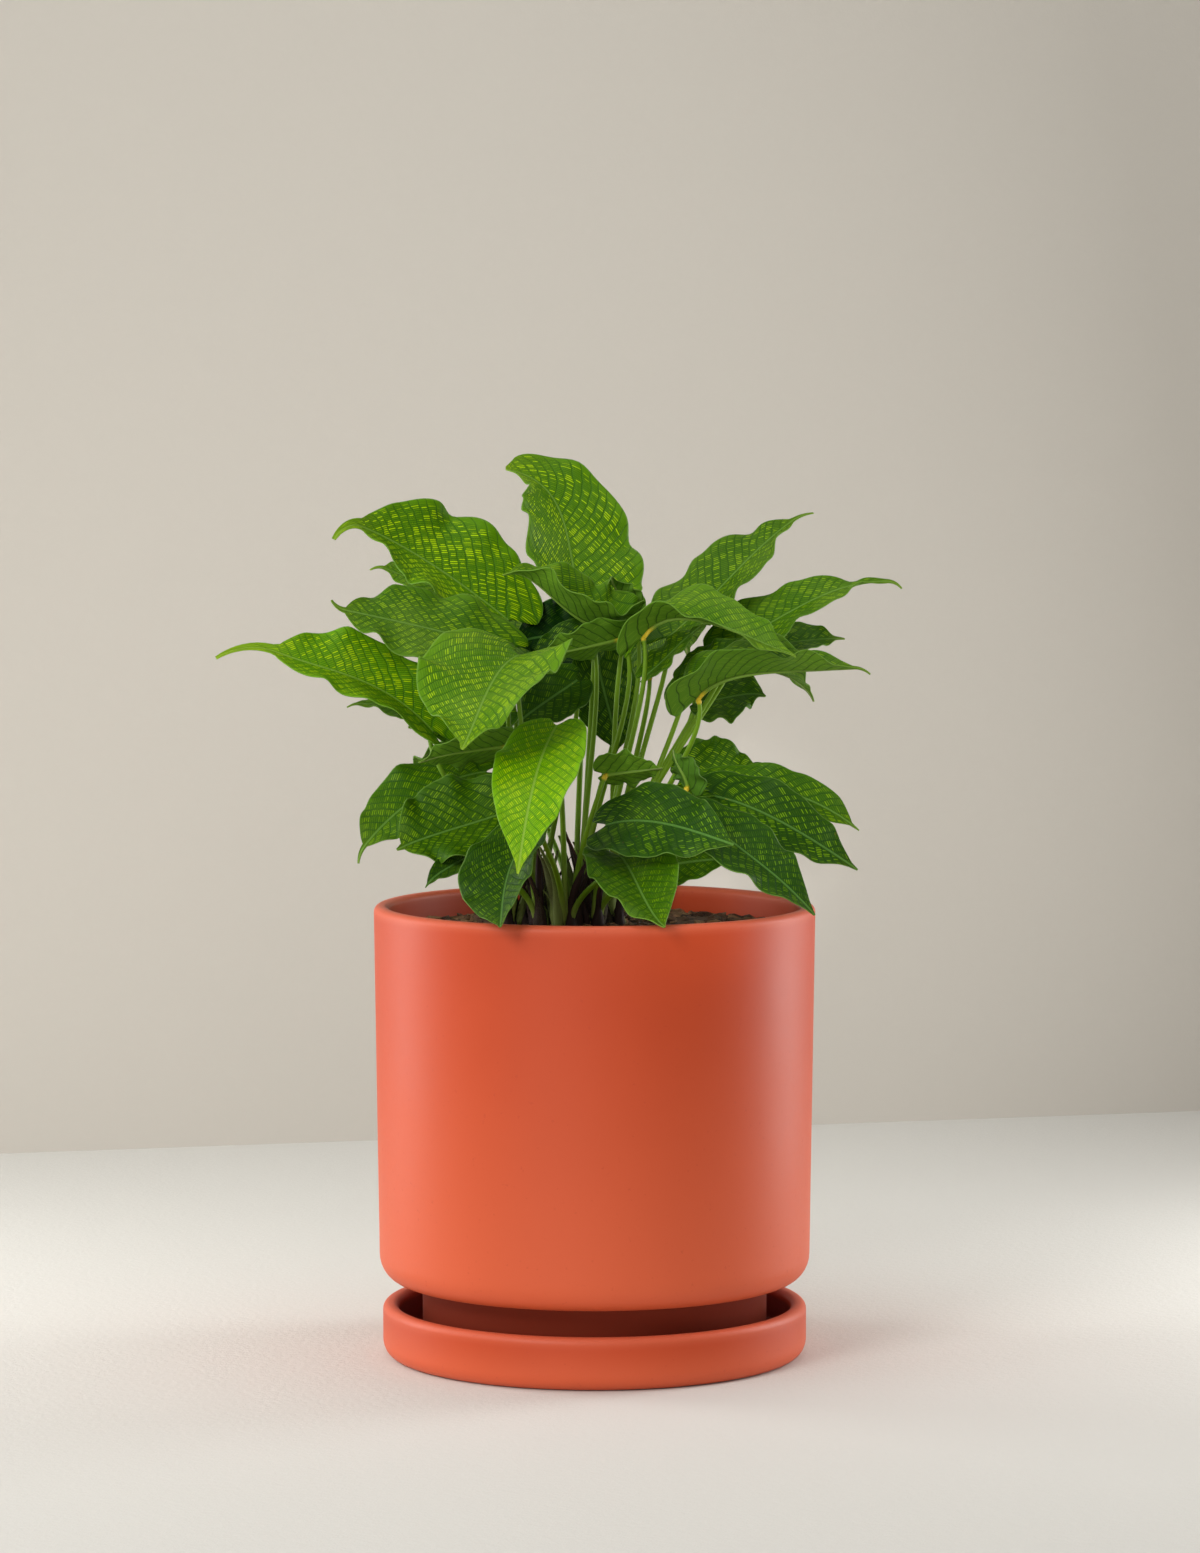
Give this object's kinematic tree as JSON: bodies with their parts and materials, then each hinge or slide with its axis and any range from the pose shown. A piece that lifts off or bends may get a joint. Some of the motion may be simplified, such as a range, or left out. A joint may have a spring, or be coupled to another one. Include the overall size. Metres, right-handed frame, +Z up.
{
  "type": "potted calathea",
  "caption": "Leafy calathea with fine net-patterned oval leaves on thin stalks, in a coral glazed cylinder pot that stands in its matching saucer.",
  "frame": {"origin": "centre of the saucer's underside, on the surface it stands on", "axes": "+Z up along the pot's axis; -Y is the front, where the large overlapping front leaves hang; +X is to the viewer's right"},
  "size_m": [0.3135, 0.2384, 0.4102],
  "materials": {
    "coral_glaze": "matte",
    "bark_mix": "matte",
    "stem_green": "satin",
    "leaf_green": "satin"
  },
  "bodies": {
    "root": {"saucer": "coral_glaze", "pot": "coral_glaze", "soil": "bark_mix", "stems_a": "stem_green", "stems_b": "stem_green", "stems_c": "stem_green", "stems_d": "stem_green", "stems_e": "stem_green", "stems_f": "stem_green", "stems_g": "stem_green", "stems_h": "stem_green", "leaf_top": "leaf_green", "leaf_top_small": "leaf_green", "leaf_top_curl": "leaf_green", "leaf_left_1": "leaf_green", "leaf_left_2": "leaf_green", "leaf_left_3": "leaf_green", "leaf_left_4": "leaf_green", "leaf_left_5": "leaf_green", "leaf_left_6": "leaf_green", "leaf_front_1": "leaf_green", "leaf_front_2": "leaf_green", "leaf_front_3": "leaf_green", "leaf_front_4": "leaf_green", "leaf_front_5": "leaf_green", "leaf_right_1": "leaf_green", "leaf_right_2": "leaf_green", "leaf_right_3": "leaf_green", "leaf_right_4": "leaf_green", "leaf_right_5": "leaf_green", "leaf_inner_1": "leaf_green", "leaf_inner_2": "leaf_green", "leaf_inner_3": "leaf_green", "leaf_inner_4": "leaf_green", "leaf_inner_5": "leaf_green", "leaf_inner_6": "leaf_green", "leaf_low_1": "leaf_green", "leaf_low_2": "leaf_green", "leaf_low_3": "leaf_green", "leaf_low_4": "leaf_green", "leaf_low_5": "leaf_green", "leaf_low_6": "leaf_green", "leaf_low_7": "leaf_green", "leaf_low_8": "leaf_green", "leaf_low_9": "leaf_green", "leaf_low_10": "leaf_green", "leaf_low_11": "leaf_green", "leaf_low_12": "leaf_green", "leaf_low_13": "leaf_green", "leaf_low_14": "leaf_green", "leaf_back_1": "leaf_green", "leaf_back_2": "leaf_green", "leaf_back_3": "leaf_green", "leaf_back_4": "leaf_green", "leaf_back_5": "leaf_green", "leaf_back_6": "leaf_green"}
  },
  "joints": []
}
